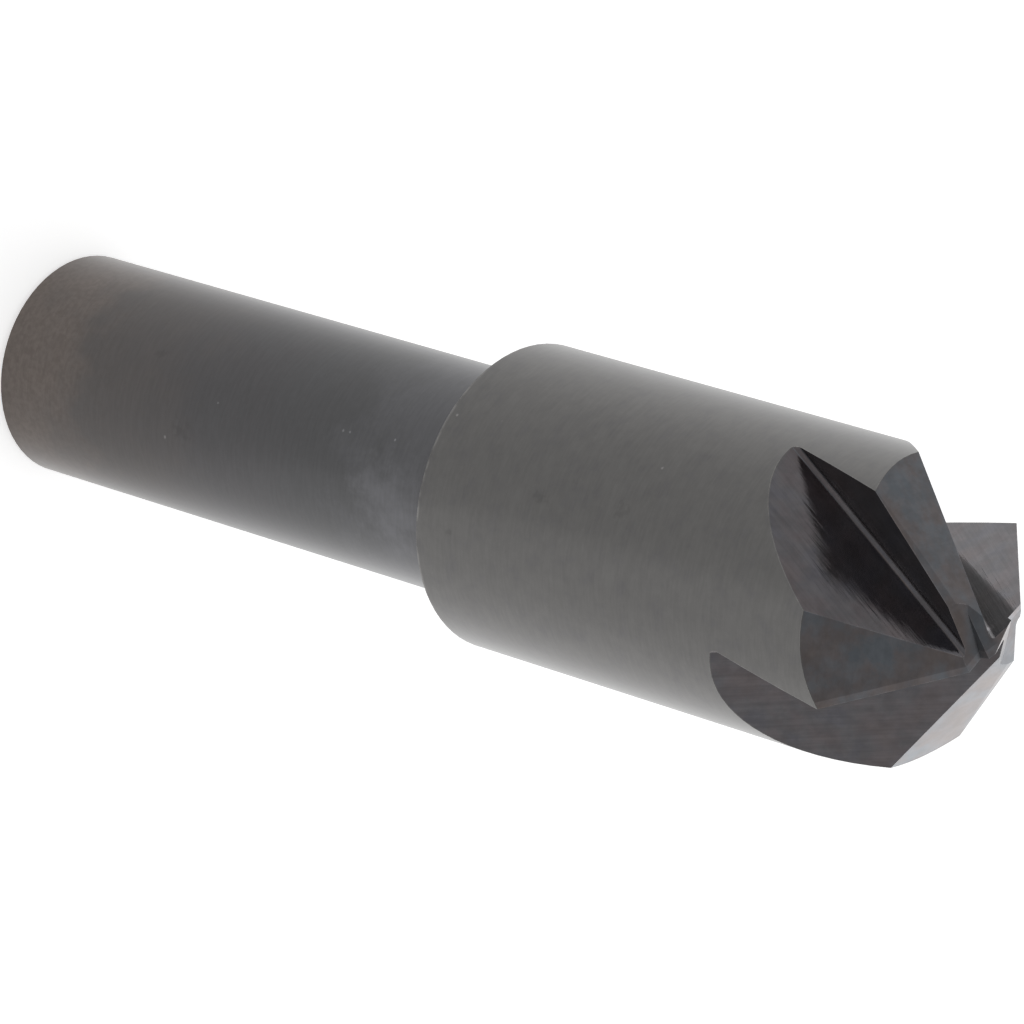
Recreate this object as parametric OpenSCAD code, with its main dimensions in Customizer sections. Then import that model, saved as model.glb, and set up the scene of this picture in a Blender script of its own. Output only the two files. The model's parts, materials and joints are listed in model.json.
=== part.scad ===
// Countersink bit with four flutes, ground from one piece of steel.
// It stands on the flat end of its shank, with its axis along Z and its cutting end up.
// The origin is the centre of that flat end. One tooth's cutting corner lies on +X.
// The teeth come in two pairs, each with its own flutes, and the pairs are not square to each
// other, which keeps the bit from chattering.

/* [Shank] */
// Diameter of the shank
shank_d = 9.525; // [7:0.025:11]
// Length of the shank, from its flat end to the shoulder
shank_l = 26.2; // [15:0.1:50]
// Width of the chamfer round the shank's end
shank_chamfer = 0.3; // [0.1:0.05:1]

/* [Head] */
// Diameter of the head
head_d = 12.7; // [12:0.1:15]
// Length of the head, from the shoulder to the cutting corners
head_l = 20.85; // [12:0.05:35]
// Width of the edge break round the shoulder
shoulder_break = 0.12; // [0.05:0.01:0.5]

/* [Teeth] */
// Angle from a tooth of the first pair round to the next one, of the second pair
pair_angle = 85.2; // [78:0.1:95]
// Angle between the axis and the lands of the first pair
first_land_angle = 51.8; // [46:0.1:56]
// Angle by which the lands of the first pair turn back from the radial, for clearance
first_land_turn = 26.7; // [18:0.1:32]
// Angle between the axis and the narrow facets along the first pair's cutting edges
first_edge_angle = 53; // [48:0.1:57]
// Angle by which those facets turn back from the radial
first_edge_turn = 15.4; // [8:0.1:24]
// Angle between the axis and the lands of the second pair
second_land_angle = 48; // [44:0.1:54]
// Angle by which the lands of the second pair turn back from the radial, for clearance
second_land_turn = 23.5; // [16:0.1:30]
// Angle between the axis and the narrow facets along the second pair's cutting edges
second_edge_angle = 50; // [46:0.1:56]
// Angle by which those facets turn back from the radial
second_edge_turn = 14.4; // [8:0.1:22]
// Depth of the narrow facets below the lands at the cutting corners
edge_depth = 0.01; // [0.005:0.005:0.05]
// Radius to which each land is curved at its cutting corner
land_r = 25; // [18:0.5:60]

/* [Web] */
// Height of the chisel edge on the axis, above the cutting corners
chisel_h = 4.12; // [3.9:0.02:4.5]
// Slope of the two facets that meet in the chisel edge
chisel_slope = 26.8; // [18:0.1:34]
// Direction in which such a facet falls, from the first pair's cutting corner round
chisel_turn = 27; // [18:0.1:36]
// Height at which the floor of a first-pair tooth's gash would meet the axis, above the cutting corners
gash_h = 3.71; // [3.3:0.01:3.9]
// Slope of the gash's floor
gash_slope = 14.7; // [8:0.1:20]
// Direction in which the gash's floor falls, from that tooth's cutting corner round
gash_turn = -3.7; // [-20:0.1:10]
// Height at which the steep wall beside that floor would meet the axis, above the cutting corners
gash_wall_h = 5.43; // [5:0.01:6]
// Slope of the gash's wall
gash_wall_slope = 63.8; // [55:0.1:75]
// Direction in which the gash's wall falls, from the tooth's cutting corner round
gash_wall_turn = 67.3; // [58:0.1:80]

/* [Flutes] */
// Angle between the two walls of a flute
flute_v = 77; // [68:0.5:86]
// Radius at the bottom of a flute
flute_r = 0.2; // [0.1:0.05:0.5]
// Angle between the axis and the bottom of a flute
flute_lean = 36.7; // [30:0.1:42]
// Roll of the walls about the bottom of the flute
flute_roll = 24.2; // [18:0.1:30]
// Turn of the first pair's flutes about the bit's axis
first_flute_turn = 24.9; // [18:0.1:30]
// Width of the first pair's cutting faces, square to the flute
first_face_w = 2.94; // [2.4:0.02:3.2]
// Turn of the second pair's flutes about the bit's axis
second_flute_turn = 12.7; // [6:0.1:20]
// Width of the second pair's cutting faces, square to the flute
second_face_w = 3.23; // [2.6:0.02:3.5]

/* [Hidden] */
$fn = 96;
head_r = head_d / 2;
corner_z = shank_l + head_l;
// Length past the head that every cutting shape has to spare
reach = 4 * head_r;
// Gap in the open flute between the shapes that grind neighbouring teeth
tooth_gap = head_r / 20;

// Everything over a sloping plane, given its height on the axis and the direction in which it falls
module over_plane(height, slope, direction) {
  translate([0, 0, corner_z + height])
    rotate([0, slope, direction])
      translate([-reach, -reach, 0])
        cube(2 * reach);
}

// Solid under a land: a cone through the cutting corner, its axis far off on the other side
module under_land(angle, turn) {
  deep = corner_z + reach;
  translate([head_r, 0, corner_z])
    rotate([0, 0, -turn])
      translate([-land_r, 0, -deep])
        cylinder(h = deep + land_r / tan(angle), r1 = land_r + deep * tan(angle), r2 = 0);
}

// Places a V-shaped wheel's section: its cutting-face wall runs along X and through the cutting corner
module at_wheel(turn, face_w) {
  translate([head_r, 0, corner_z])
    rotate([0, 0, -turn])
      rotate([0, -flute_lean, 0])
        rotate([0, 0, flute_roll])
          translate([-face_w, 0, 0])
            children();
}

// Path of the V-shaped grinding wheel
module flute(turn, face_w) {
  tangent = flute_r / tan(flute_v / 2);
  centre = flute_r / sin(flute_v / 2) * [cos(flute_v / 2), sin(flute_v / 2)];
  at_wheel(turn, face_w)
    linear_extrude(height = 2 * reach, center = true) {
      translate(centre)
        circle(r = flute_r);
      polygon([
        [tangent, 0],
        [reach, 0],
        reach * [cos(flute_v), sin(flute_v)],
        tangent * [cos(flute_v), sin(flute_v)]
      ]);
    }
}

// Room of one tooth, from its cutting face back to the flute behind it and a little into both flutes
module tooth_room(turn, face_w, back_angle, back_turn, back_face_w) {
  intersection() {
    at_wheel(turn, face_w)
      translate([-reach, tooth_gap - 2 * reach, -reach])
        cube(2 * reach);
    rotate(-back_angle)
      at_wheel(back_turn, back_face_w)
        rotate(flute_v)
          translate([-reach, -tooth_gap, -reach])
            cube(2 * reach);
  }
}

// What is ground off over one tooth: down to its land, and to the narrow facet along its cutting edge
module over_tooth(land_angle, land_turn, edge_angle, edge_turn) {
  edge_h = head_r * cos(edge_turn) / tan(edge_angle) - edge_depth;
  difference() {
    children();
    difference() {
      under_land(land_angle, land_turn);
      over_plane(edge_h, 90 - edge_angle, -edge_turn);
    }
  }
}

// Outline of the turned blank, from its axis outwards and up
module blank() {
  rotate_extrude()
    polygon([
      [0, 0],
      [shank_d / 2 - shank_chamfer, 0],
      [shank_d / 2, shank_chamfer],
      [shank_d / 2, shank_l],
      [head_r - shoulder_break, shank_l],
      [head_r, shank_l + shoulder_break],
      [head_r, corner_z + head_r],
      [0, corner_z + head_r]
    ]);
}

module countersink_bit() color("dimgray") {
  difference() {
    blank();
    for (side = [0, 180]) {
      rotate(side) {
        over_tooth(first_land_angle, first_land_turn, first_edge_angle, first_edge_turn)
          tooth_room(first_flute_turn, first_face_w, 180 - pair_angle, second_flute_turn, second_face_w);
        flute(first_flute_turn, first_face_w);
        intersection() {
          over_plane(gash_h, gash_slope, gash_turn);
          union() {
            over_plane(gash_wall_h, gash_wall_slope, gash_wall_turn);
            over_plane(chisel_h, chisel_slope, chisel_turn);
          }
        }
      }
      rotate(side + pair_angle) {
        over_tooth(second_land_angle, second_land_turn, second_edge_angle, second_edge_turn)
          tooth_room(second_flute_turn, second_face_w, pair_angle, first_flute_turn, first_face_w);
        flute(second_flute_turn, second_face_w);
      }
    }
  }
}

countersink_bit();
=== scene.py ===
"""Countersink bit with four flutes, in ground high speed steel thinly oxidised to a dark finish, stood on its
shank.
"""
import json
import math

import bpy
from mathutils import Matrix, Vector


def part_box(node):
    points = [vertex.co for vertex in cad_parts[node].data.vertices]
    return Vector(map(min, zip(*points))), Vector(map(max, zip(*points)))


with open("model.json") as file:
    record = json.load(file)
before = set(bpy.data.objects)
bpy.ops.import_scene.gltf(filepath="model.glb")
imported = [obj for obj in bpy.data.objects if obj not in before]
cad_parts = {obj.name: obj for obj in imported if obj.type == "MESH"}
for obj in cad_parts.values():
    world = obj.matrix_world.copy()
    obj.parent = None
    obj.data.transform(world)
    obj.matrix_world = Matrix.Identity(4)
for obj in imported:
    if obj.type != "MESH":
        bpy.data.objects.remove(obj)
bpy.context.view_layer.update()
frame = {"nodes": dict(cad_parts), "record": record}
RECORD = frame["record"]
BIT = frame["nodes"]["countersink_bit"]
LOW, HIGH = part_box("countersink_bit")
MM = 0.001

# Sizes of the bit, in metres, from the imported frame.
HEAD_R = (HIGH.x - LOW.x) / 2
SHANK_R = RECORD["mounts"][0]["dims"]["r_mm"] * MM
BETWEEN_R = (HEAD_R + SHANK_R) / 2
SHOULDER_Z = min(v.co.z for v in BIT.data.vertices if math.hypot(v.co.x, v.co.y) > BETWEEN_R)

# The grinding wheel's path in the flutes, in degrees and mm, as the part's source has it. The chisel edge
# stands this much above the cutting corners.
FLUTE_LEAN = 36.7
FLUTE_ROLL = 24.2
FLUTE_V = 77
CHISEL_RISE = 4.12
CORNER_Z = HIGH.z / MM - CHISEL_RISE

# For each pair of flutes: turn about the axis, and width of the cutting face. Then where shade is painted along
# the flute, a darker band that stands for the dark reflection of the neighbouring tooth: from and to so far from
# the bottom of the flute, and how much further per mm towards the tip. Last the width of the bright strip along
# the cutting edge.
FIRST_PAIR = (24.9, 2.94, -0.1, 0.16, 0.0, 0.01)
SECOND_PAIR = (12.7, 3.23, 0.2, 0.62, 0.117, 0.25)
# For each flute: direction round the axis of its tooth, its pair, and how dark its painted shade is.
FLUTES = [(0, FIRST_PAIR, 0.3), (85.2, SECOND_PAIR, 0.15), (180, FIRST_PAIR, 0.3), (265.2, SECOND_PAIR, 1.0)]
# Slope and direction of the steep walls of the gashes.
GASH_WALLS = [(63.8, 67.3), (63.8, 247.3)]

# The camera looks at a point near the middle of the bit's axis, rolled so that the bit lies across the view.
VIEW_TARGET = Vector((-0.47, 0.57, 25.92)) * MM
VIEW_AZIMUTH = math.radians(39.28)
VIEW_ELEVATION = math.radians(40.19)
VIEW_ROLL = math.radians(106.84)
VIEW_DISTANCE = 268.8 * MM
VIEW_NEAREST = 10 * MM
LENS_MM = 232.8
SENSOR_MM = 36

# Levels of the white cloth, by how far up it is. The lamp stands low behind the bit, full within the inner
# angle and gone at the outer one.
CLOTH = [(0, 1.0), (0.12, 0.84), (0.35, 0.74), (0.6, 0.6), (1, 0.43)]
LAMP_SIDE = Vector((-0.83, -0.47, 0.29))
LAMP_INNER = math.radians(15)
LAMP_OUTER = math.radians(40)
LAMP_STRENGTH = 1.35

# The board, turned towards the camera's side. Its glow in reflections, each from one place to another along
# an axis of the board, in metres, and the level at either place.
BOARD_HALF = 3.0
BOARD_TURN = math.radians(39.28)
GLOW_NEAR = (-0.015, 0.045, 0.8, 0.46)
GLOW_BEHIND = (-0.05, -0.3, 0.0, 0.5)
GLOW_BESIDE = (0.011, 0.017, -0.12, 0.08)
GLOW_TO_CAMERA = 0.6

# Colours by how far along a pattern they come: of the oxidised surface on the flute walls, the lands and the
# head;
# of the shank from its flat end up, darker over its middle than at its ends; and of the pale haze on the shank.
WALL_STAINS = [(0.38, "#5d5c60"), (0.48, "#5f5d5f"), (0.55, "#605c5e"), (0.64, "#605b5c")]
LAND_STAINS = [(0.36, "#62666b"), (0.46, "#656568"), (0.53, "#666263"), (0.66, "#665f5d")]
HEAD_STAINS = [(0.3, "#605f5f"), (0.5, "#636261"), (0.7, "#656463")]
SHANK_TONES = [(0.0, "#645d59"), (0.13, "#575453"), (0.5, "#525152"), (0.85, "#535354"), (0.97, "#5a5a5c")]
HAZE_COLOUR = "#68686b"

# Places in mm, and the radius of each: a pale haze on the shank by the shoulder, nicks that show bare steel, the
# last of them a painted glint at the end of a flute by the tip, and dark smudges. The blue patch is on the land
# of the tooth next to +X.
HAZE = [((2.2, 4.2, 23.2), 2.4)]
NICKS_AND_GLINT = [((6.13, 1.68, 37.47), 0.09), ((6.13, 1.66, 28.95), 0.05), ((3.72, 2.97, 13.03), 0.07),
         ((2.14, 4.25, 10.32), 0.1), ((3.95, 2.66, 20.1), 0.08), ((3.96, 2.64, 20.45), 0.06),
         ((4.08, 2.46, 22.89), 0.07), ((6.05, 1.94, 26.7), 0.07), ((0.06, -0.29, 50.35), 0.24)]
SMUDGES = [((5.26, 3.56, 36.59), 0.5), ((5.0, 3.91, 32.44), 0.45), ((3.15, 5.51, 28.06), 0.3),
           ((2.57, 4.01, 11.19), 0.6), ((4.4, 1.8, 9.0), 0.4)]
BLUE_PATCH = (1.8, 3.7, 48.6)

# Roughness of the ground steel, of the flute walls, which were ground finer, and of the band of painted shade.
GROUND_ROUGH, WALL_ROUGH, SHADE_BAND_ROUGH = 0.3, 0.1, 0.45
# Share of the light left where shade is painted, and how much brighter worn steel and the painted glint are.
PAINTED_SHADE_DARK, WEAR_AND_GLINT_BRIGHT = 0.35, 2.1
# Wear along the edges, and height of the wheel's marks.
WORN_R = 0.05 * MM
MARK_HEIGHT = 0.02 * MM

# Settings that many nodes share.
EASE = {"interpolation_type": "SMOOTHSTEP"}
TIMES = {"operation": "MULTIPLY"}
TIMES_PLUS = {"operation": "MULTIPLY_ADD"}
PLUS = {"operation": "ADD"}
MINUS = {"operation": "SUBTRACT"}
LARGER = {"operation": "MAXIMUM"}
LENGTH = {"operation": "LENGTH"}
DISTANCE = {"operation": "DISTANCE"}
DOT = {"operation": "DOT_PRODUCT"}
COLOURS = {"data_type": "RGBA"}
VECTORS = {"data_type": "VECTOR"}


def linear(hex_colour):
    """An sRGB hex colour as linear RGBA."""
    parts = [int(hex_colour[i:i + 2], 16) / 255 for i in (1, 3, 5)]
    return tuple(c / 12.92 if c <= 0.04045 else ((c + 0.055) / 1.055) ** 2.4 for c in parts) + (1,)


def new_material(name):
    """An empty node material, and its node tree."""
    material = bpy.data.materials.new(name)
    material.use_nodes = True
    material.node_tree.nodes.clear()
    return material, material.node_tree


def node(tree, kind, settings=None, *inputs, out=None, stops=(), **named):
    """Adds a shader node, and gives the first output that it uses or the one that out names. Inputs go to the
    sockets that it uses, in order, or by name with underscores for spaces; each is a value or an output to link
    from. Stops are the (position, colour) pairs of a ramp, in hex or linear."""
    made = tree.nodes.new("ShaderNode" + kind)
    for key, value in (settings or {}).items():
        setattr(made, key, value)
    filled = list(zip([socket for socket in made.inputs if socket.enabled], inputs))
    filled += [(made.inputs[key.replace("_", " ")], value) for key, value in named.items()]
    for socket, value in filled:
        if isinstance(value, bpy.types.NodeSocket):
            tree.links.new(value, socket)
        else:
            socket.default_value = value
    for _ in stops[2:]:
        made.color_ramp.elements.new(1)
    for i, (position, colour) in enumerate(stops):
        made.color_ramp.elements[i].position = position
        made.color_ramp.elements[i].color = linear(colour) if isinstance(colour, str) else colour
    used = [socket for socket in made.outputs if socket.enabled and out in (None, socket.name)]
    return used[0] if used else None


def wheel_path(tooth, turn, face_w):
    """Path of a flute's grinding wheel: its axes (X across the cutting face, Y out of that face, Z along the
    flute) and a point at the bottom of the flute, in mm."""
    wheel = (Matrix.Rotation(math.radians(tooth - turn), 3, "Z")
             @ Matrix.Rotation(math.radians(-FLUTE_LEAN), 3, "Y")
             @ Matrix.Rotation(math.radians(FLUTE_ROLL), 3, "Z"))
    corner = Matrix.Rotation(math.radians(tooth), 3, "Z") @ Vector((HEAD_R / MM, 0, CORNER_Z))
    return wheel, corner + wheel @ Vector((-face_w, 0, 0))


def where_facing(tree, normal, facings, low, high):
    """1 on the flat surfaces that face one of the given ways, and 0 elsewhere."""
    there = 0.0
    for facing in facings:
        toward = node(tree, "VectorMath", DOT, normal, facing)
        there = node(tree, "Math", LARGER, there, node(tree, "MapRange", EASE, toward, low, high))
    return there


def sloping(slope, direction):
    """Way that a plane faces, from its slope and the direction in which it falls, in degrees."""
    slope, direction = math.radians(slope), math.radians(direction)
    return Vector((math.sin(slope) * math.cos(direction), math.sin(slope) * math.sin(direction), math.cos(slope)))


def near_places(tree, place, places, ragged):
    """1 round some places, out to the radius of each, with ragged rims."""
    there = 0.0
    for middle, reach in places:
        away = node(tree, "VectorMath", DISTANCE, place, middle)
        away = node(tree, "Math", TIMES_PLUS, ragged, reach * 2.4, away)
        near = node(tree, "MapRange", EASE, away, reach * 1.1, reach * 2.3, 1.0, 0.0)
        there = node(tree, "Math", LARGER, there, near)
    return there


def along_the_marks(tree, place, normal):
    """Coordinates in mm, squeezed along the marks that the grinding wheel left: rings round the axis on the
    turned surfaces and the lands, and lines along each flute on its two walls. Also how far a point is on such a
    wall, in the band of painted shade along a flute, and on the bright strip along a cutting edge."""
    round_squeeze, wall_squeeze = 0.12, 0.03
    marks = node(tree, "VectorMath", TIMES, place, (round_squeeze, round_squeeze, 1))
    walls, shade_band, strips = 0.0, 0.0, 0.0
    opening = math.radians(FLUTE_V)
    for tooth, (turn, face_w, inner, outer, flare, strip), dark in FLUTES:
        wheel, bottom = wheel_path(tooth, turn, face_w)
        lines = node(tree, "Mapping", {"vector_type": "TEXTURE"}, Vector=place, Location=bottom,
                     Rotation=wheel.to_euler(), Scale=(1, 1, 1 / wall_squeeze))
        sides = [wheel @ Vector((0, 1, 0)), wheel @ Vector((math.sin(opening), -math.cos(opening), 0))]
        on_wall = where_facing(tree, normal, sides, 0.97, 0.99)
        marks = node(tree, "Mix", VECTORS, on_wall, marks, lines)
        walls = node(tree, "Math", LARGER, walls, on_wall)

        # The painted shade keeps to surfaces that run along the flute, and ends in streaks.
        across = node(tree, "SeparateXYZ", None, lines).node.outputs
        rise = node(tree, "VectorMath", DOT, normal, wheel @ Vector((0, 0, 1)))
        rise = node(tree, "Math", {"operation": "ABSOLUTE"}, rise)
        in_flute = node(tree, "MapRange", EASE, rise, 0.1, 0.2, 1.0, 0.0)
        away = node(tree, "VectorMath", LENGTH, node(tree, "VectorMath", TIMES, lines, (1, 1, 0)))
        streaks = node(tree, "TexNoise", Vector=lines, Scale=6.0, Detail=2.0)
        spread = node(tree, "Math", TIMES_PLUS, across["Z"], -flare / wall_squeeze, away)
        spread = node(tree, "Math", TIMES_PLUS, streaks, outer / 2, spread)
        band = node(tree, "MapRange", EASE, spread, outer, outer * 1.5, 1.0, 0.0)
        band = node(tree, "Math", TIMES, in_flute, band)
        band = node(tree, "Math", TIMES, band, node(tree, "MapRange", EASE, away, inner - 0.02, inner + 0.02))
        shade_band = node(tree, "Math", LARGER, shade_band, node(tree, "Math", TIMES, band, dark))

        # The strip lies on the land, just behind the cutting face.
        behind = node(tree, "MapRange", EASE, across["Y"], -strip - 0.02, -strip + 0.02)
        behind = node(tree, "Math", TIMES, behind, node(tree, "MapRange", EASE, across["X"], 0.0, 0.3))
        ahead = node(tree, "MapRange", EASE, across["Y"], 0.0, 0.02, 1.0, 0.0)
        edge = node(tree, "Math", TIMES, behind, ahead)
        edge = node(tree, "Math", TIMES, edge, node(tree, "MapRange", EASE, rise, 0.1, 0.2))
        strips = node(tree, "Math", LARGER, strips, edge)
    return marks, walls, shade_band, strips


def oxidised_ground_steel():
    """High speed steel, ground all over and steam tempered, which leaves it thinly oxidised: a dark metal that
    still mirrors softly, pale only where the light grazes it, with faint brown, blue and purple stains. Shade is
    painted into its colour along the bottom of the flutes and on the steep walls of the gashes, and a glint at
    the end of one flute."""
    material, tree = new_material("oxidised_ground_steel")
    texture = node(tree, "TexCoord").node.outputs
    normal = texture["Normal"]
    place = node(tree, "VectorMath", {"operation": "SCALE"}, texture["Object"], 1 / MM)
    marks, walls, shade_band, strips = along_the_marks(tree, place, normal)
    height = node(tree, "SeparateXYZ", None, place, out="Z")
    radius = node(tree, "VectorMath", LENGTH, node(tree, "VectorMath", TIMES, place, (1, 1, 0)))
    shoulder = SHOULDER_Z / MM
    on_head = node(tree, "MapRange", EASE, height, shoulder - 0.02, shoulder + 0.02)
    on_round = node(tree, "MapRange", EASE, radius, HEAD_R / MM - 0.04, HEAD_R / MM - 0.01)
    ground_in = node(tree, "Math", {"operation": "SUBTRACT", "use_clamp": True}, on_head, on_round)

    # Stains in the oxidised surface, 1 to 3 mm across: most of them on the lands and the flute walls, few on the
    # head.
    cloud = node(tree, "TexNoise", Vector=place, Scale=0.5, Detail=4.0, Roughness=0.6)
    patch = node(tree, "TexNoise", Vector=place, Scale=1.3, Detail=3.0, Roughness=0.6)
    from_blue = node(tree, "VectorMath", DISTANCE, place, BLUE_PATCH)
    from_blue = node(tree, "Math", TIMES_PLUS, patch, 2.4, from_blue)
    tint = node(tree, "Math", MINUS, 1.0, cloud)
    tint = node(tree, "Math", MINUS, tint, node(tree, "MapRange", EASE, from_blue, 1.5, 2.3, 0.16, 0.0))
    on_wall_or_shade_band = node(tree, "Math", LARGER, walls, node(tree, "MapRange", EASE, shade_band, 0.0, 0.2))
    stain = node(tree, "Mix", COLOURS, on_wall_or_shade_band, node(tree, "ValToRGB", None, tint, stops=LAND_STAINS),
                 node(tree, "ValToRGB", None, cloud, stops=WALL_STAINS))
    head = node(tree, "ValToRGB", None, patch, stops=HEAD_STAINS)
    along = node(tree, "Math", TIMES_PLUS, cloud, 9.0, height)
    along = node(tree, "MapRange", EASE, along, 4.5, shoulder + 4.5)
    shank = node(tree, "ValToRGB", None, along, stops=SHANK_TONES)
    haze = node(tree, "Math", TIMES, near_places(tree, place, HAZE, patch), 0.6)
    shank = node(tree, "Mix", COLOURS, haze, shank, linear(HAZE_COLOUR))
    colour = node(tree, "Mix", COLOURS, on_head, shank, head)
    colour = node(tree, "Mix", COLOURS, ground_in, colour, stain)

    # Marks of the wheel, about 0.1 mm apart, and broader bands from its dressing, about 0.5 mm apart.
    fine = node(tree, "TexNoise", Vector=marks, Scale=7.0, Detail=3.0, Roughness=0.7)
    broad = node(tree, "TexNoise", Vector=marks, Scale=1.6, Detail=2.0)
    relief = node(tree, "Mix", None, node(tree, "Mix", None, walls, 0.35, 0.15), fine, broad)
    tone = node(tree, "Mix", None, walls, node(tree, "MapRange", EASE, fine, 0.3, 0.7, 0.96, 1.04),
                node(tree, "MapRange", EASE, fine, 0.3, 0.7, 0.92, 1.08))

    # Painted shade: darker and rougher along the bottom of the flutes, where the neighbouring tooth's dark
    # reflection falls, and on the steep walls of the gashes.
    gash_shade = where_facing(tree, normal, [sloping(*wall) for wall in GASH_WALLS], 0.985, 0.995)
    dull_and_shaded = node(tree, "Math", TIMES, ground_in, node(tree, "Math", LARGER, shade_band, gash_shade))
    tone = node(tree, "Math", TIMES, tone, node(tree, "Mix", None, dull_and_shaded, 1.0, PAINTED_SHADE_DARK))

    # Edges and nicks are worn to bare steel, and here and there the rim of the shoulder. A painted glint sits at
    # the end of one flute by the tip.
    rounded = node(tree, "Bevel", {"samples": 2}, Radius=WORN_R)
    flat = node(tree, "VectorMath", DOT, rounded, node(tree, "NewGeometry", out="Normal"))
    wear_and_glint = node(tree, "Math", TIMES, node(tree, "MapRange", EASE, flat, 0.9, 0.99, 1.0, 0.0),
                node(tree, "MapRange", EASE, patch, 0.35, 0.6, 0.3, 1.0))
    nicks_and_glint = near_places(tree, place, NICKS_AND_GLINT, fine)
    rim = node(tree, "MapRange", EASE, height, shoulder + 0.16, shoulder + 0.24, 1.0, 0.0)
    rim = node(tree, "Math", TIMES, on_head, rim)
    rim = node(tree, "Math", TIMES, rim, node(tree, "MapRange", EASE, patch, 0.38, 0.62, 0.0, 0.45))
    wear_and_glint = node(tree, "Math", LARGER, node(tree, "Math", LARGER, wear_and_glint, rim), nicks_and_glint)

    # The strips along the second pair's cutting edges were ground last, and shine.
    strips = node(tree, "Math", TIMES, node(tree, "Math", TIMES, strips, ground_in), 0.33)
    bright = node(tree, "Math", LARGER, strips, wear_and_glint)
    tone = node(tree, "Math", TIMES, tone, node(tree, "Mix", None, bright, 1.0, WEAR_AND_GLINT_BRIGHT))

    # Mottling of the ground surfaces, smudges, and grain on the brown end of the shank.
    grain = node(tree, "TexNoise", Vector=place, Scale=4.0, Detail=2.0)
    mottle = node(tree, "MapRange", EASE, patch, 0.35, 0.65, 0.9, 1.06)
    tone = node(tree, "Math", TIMES, tone, node(tree, "Mix", None, ground_in, 1.0, mottle))
    smudge = near_places(tree, place, SMUDGES, grain)
    tone = node(tree, "Math", TIMES, tone, node(tree, "MapRange", EASE, smudge, 0.0, 1.0, 1.0, 0.9))
    brown = node(tree, "MapRange", EASE, along, 0.0, 0.2, 1.0, 0.15)
    speckle = node(tree, "MapRange", EASE, grain, 0.3, 0.7, 0.92, 1.08)
    tone = node(tree, "Math", TIMES, tone, node(tree, "Mix", None, brown, 1.0, speckle))
    colour = node(tree, "Mix", {"data_type": "RGBA", "blend_type": "MULTIPLY"}, 1.0, colour, tone)

    rough = node(tree, "Mix", None, node(tree, "MapRange", EASE, dull_and_shaded, 0.0, 0.3),
                 node(tree, "Mix", None, walls, GROUND_ROUGH, WALL_ROUGH), SHADE_BAND_ROUGH)
    depth = node(tree, "Mix", None, on_head, 0.03, node(tree, "Mix", None, walls, 0.06, 0.6))

    # The turned surfaces are truly round, also across the seam of the mesh.
    outward = node(tree, "VectorMath", TIMES, place, (1, 1, 0))
    outward = node(tree, "VectorMath", {"operation": "NORMALIZE"}, outward)
    turned = node(tree, "MapRange", EASE, node(tree, "VectorMath", DOT, outward, normal), 0.99, 0.998)
    smooth = node(tree, "Mix", VECTORS, turned, normal, outward)
    bump = node(tree, "Bump", Strength=depth, Distance=MARK_HEIGHT, Height=relief, Normal=smooth)
    steel = node(tree, "BsdfPrincipled", Base_Color=colour, Metallic=1.0, Roughness=rough, Normal=bump)
    node(tree, "OutputMaterial", Surface=steel)
    return material


def white_board():
    """Matt white board: it takes the bit's soft shadow, and it is pure white to the eye and in reflections.
    It is lit more strongly behind the bit and on one side, which shows as soft steps along round surfaces."""
    material, tree = new_material("white_board")
    rays = node(tree, "LightPath").node.outputs
    place = node(tree, "Mapping", {"vector_type": "TEXTURE"}, Vector=node(tree, "TexCoord", out="Object"),
                 Rotation=(0, 0, BOARD_TURN))
    axes = node(tree, "SeparateXYZ", None, place).node.outputs
    glow = node(tree, "MapRange", EASE, axes["X"], *GLOW_NEAR)
    glow = node(tree, "Math", PLUS, glow, node(tree, "MapRange", EASE, axes["X"], *GLOW_BEHIND))
    glow = node(tree, "Math", PLUS, glow, node(tree, "MapRange", EASE, axes["Y"], *GLOW_BESIDE))
    seen = node(tree, "Math", TIMES, rays["Is Glossy Ray"], glow)
    seen = node(tree, "Math", TIMES_PLUS, rays["Is Camera Ray"], GLOW_TO_CAMERA, seen)
    board = node(tree, "BsdfPrincipled", Base_Color=linear("#e6e6e6"), Roughness=0.9,
                 Emission_Color=(1, 1, 1, 1), Emission_Strength=seen)
    node(tree, "OutputMaterial", Surface=board)
    return material


def dress_bit():
    """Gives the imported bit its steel."""
    BIT.data.materials.clear()
    BIT.data.materials.append(oxidised_ground_steel())


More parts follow.
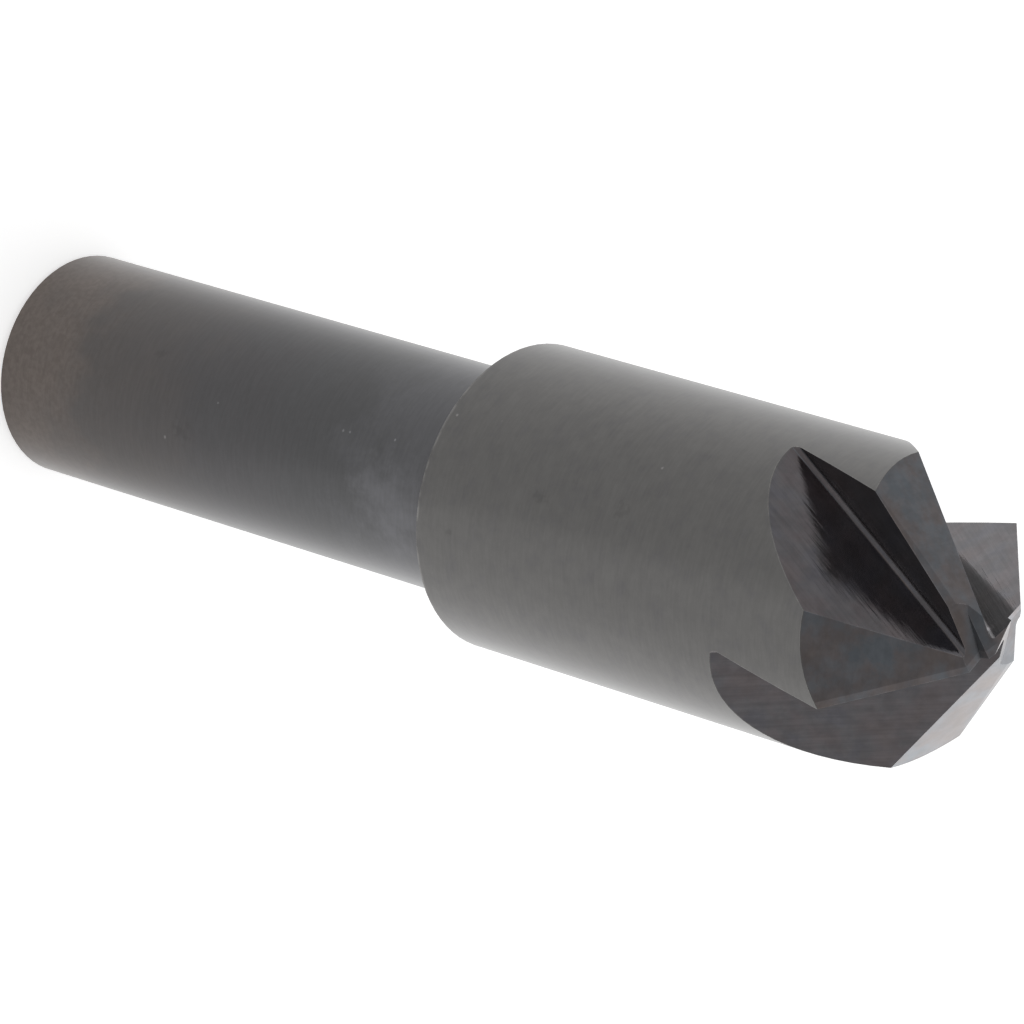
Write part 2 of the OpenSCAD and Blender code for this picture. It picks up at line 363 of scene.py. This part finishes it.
def lay_floor():
    """Lays the white board under the bit."""
    mesh = bpy.data.meshes.new("floor")
    corners = [(-1, -1), (1, -1), (1, 1), (-1, 1)]
    mesh.from_pydata([(x * BOARD_HALF, y * BOARD_HALF, 0) for x, y in corners], [], [(0, 1, 2, 3)])
    mesh.materials.append(white_board())
    floor = bpy.data.objects.new("floor", mesh)
    bpy.context.scene.collection.objects.link(floor)


def light_studio():
    """A tent of white cloth, lit from outside: bright walls, a darker top, one lamp low behind the bit, and
    pure white to the eye."""
    world = bpy.data.worlds.new("white_tent")
    world.use_nodes = True
    tree = world.node_tree
    tree.nodes.clear()
    direction = node(tree, "TexCoord", out="Generated")
    up = node(tree, "SeparateXYZ", None, direction, out="Z")
    cloth = node(tree, "ValToRGB", None, up, stops=[(rise, (level, level, level, 1)) for rise, level in CLOTH])
    toward = node(tree, "VectorMath", DOT, direction, LAMP_SIDE)
    lamp = node(tree, "MapRange", EASE, toward, math.cos(LAMP_OUTER), math.cos(LAMP_INNER), 0.0, LAMP_STRENGTH)
    light = node(tree, "Mix", {"data_type": "RGBA", "blend_type": "ADD"}, 1.0, cloth, lamp)
    seen = node(tree, "LightPath", out="Is Camera Ray")
    tent = node(tree, "Background", Color=node(tree, "Mix", COLOURS, seen, light, (1, 1, 1, 1)))
    node(tree, "OutputWorld", Surface=tent)
    bpy.context.scene.world = world


def set_camera():
    """Sets the camera on the photo's side of the bit."""
    data = bpy.data.cameras.new("camera")
    data.sensor_width = SENSOR_MM
    data.lens = LENS_MM
    data.clip_start = VIEW_NEAREST
    camera = bpy.data.objects.new("camera", data)
    bpy.context.scene.collection.objects.link(camera)
    back = Vector((math.cos(VIEW_ELEVATION) * math.cos(VIEW_AZIMUTH),
                   math.cos(VIEW_ELEVATION) * math.sin(VIEW_AZIMUTH), math.sin(VIEW_ELEVATION)))
    level = Vector((0, 0, 1)).cross(back).normalized()
    upright = Matrix((level, back.cross(level), back)).transposed().to_4x4()
    turn = Matrix.Rotation(VIEW_ROLL, 4, "Z")
    camera.matrix_world = Matrix.Translation(VIEW_TARGET + back * VIEW_DISTANCE) @ upright @ turn
    bpy.context.scene.camera = camera


dress_bit()
lay_floor()
light_studio()
set_camera()
bpy.context.scene.view_settings.view_transform = "Standard"

bpy.context.view_layer.update()
